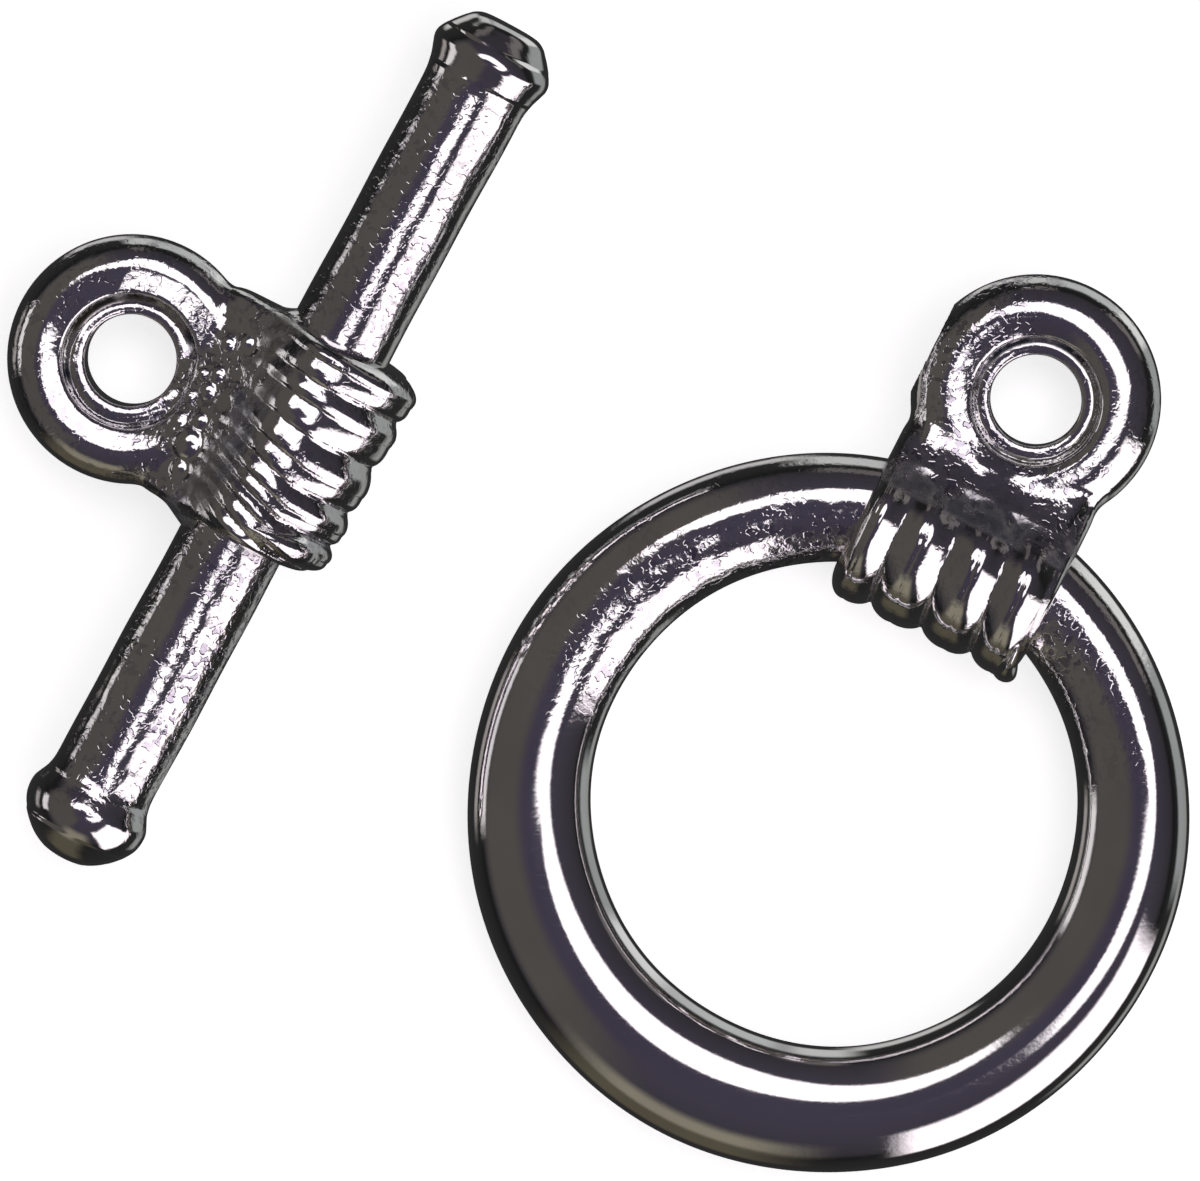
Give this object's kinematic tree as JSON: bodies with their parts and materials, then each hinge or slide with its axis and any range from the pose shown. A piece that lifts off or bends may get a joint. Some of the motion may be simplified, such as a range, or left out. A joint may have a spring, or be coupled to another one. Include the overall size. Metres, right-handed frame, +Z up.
{
  "type": "toggle clasp",
  "caption": "Toggle clasp lying unfastened: a round ring half beside a straight bar half with domed knobs, each with a coiled collar, a short neck and a closed eye.",
  "frame": {"origin": "middle of the pair's footprint, on the surface that both halves lie on", "axes": "+Z up out of the faces of the two eyes, +X to the right and +Y away, as the pair is seen from above"},
  "size_m": [0.0246, 0.0242, 0.0033],
  "materials": {
    "silver_cast_ring": "polished silver plate over a zinc casting",
    "silver_cast_bar": "polished silver plate over a zinc casting"
  },
  "bodies": {
    "root": {"toggle_ring": "silver_cast_ring", "toggle_bar": "silver_cast_bar"}
  },
  "joints": []
}
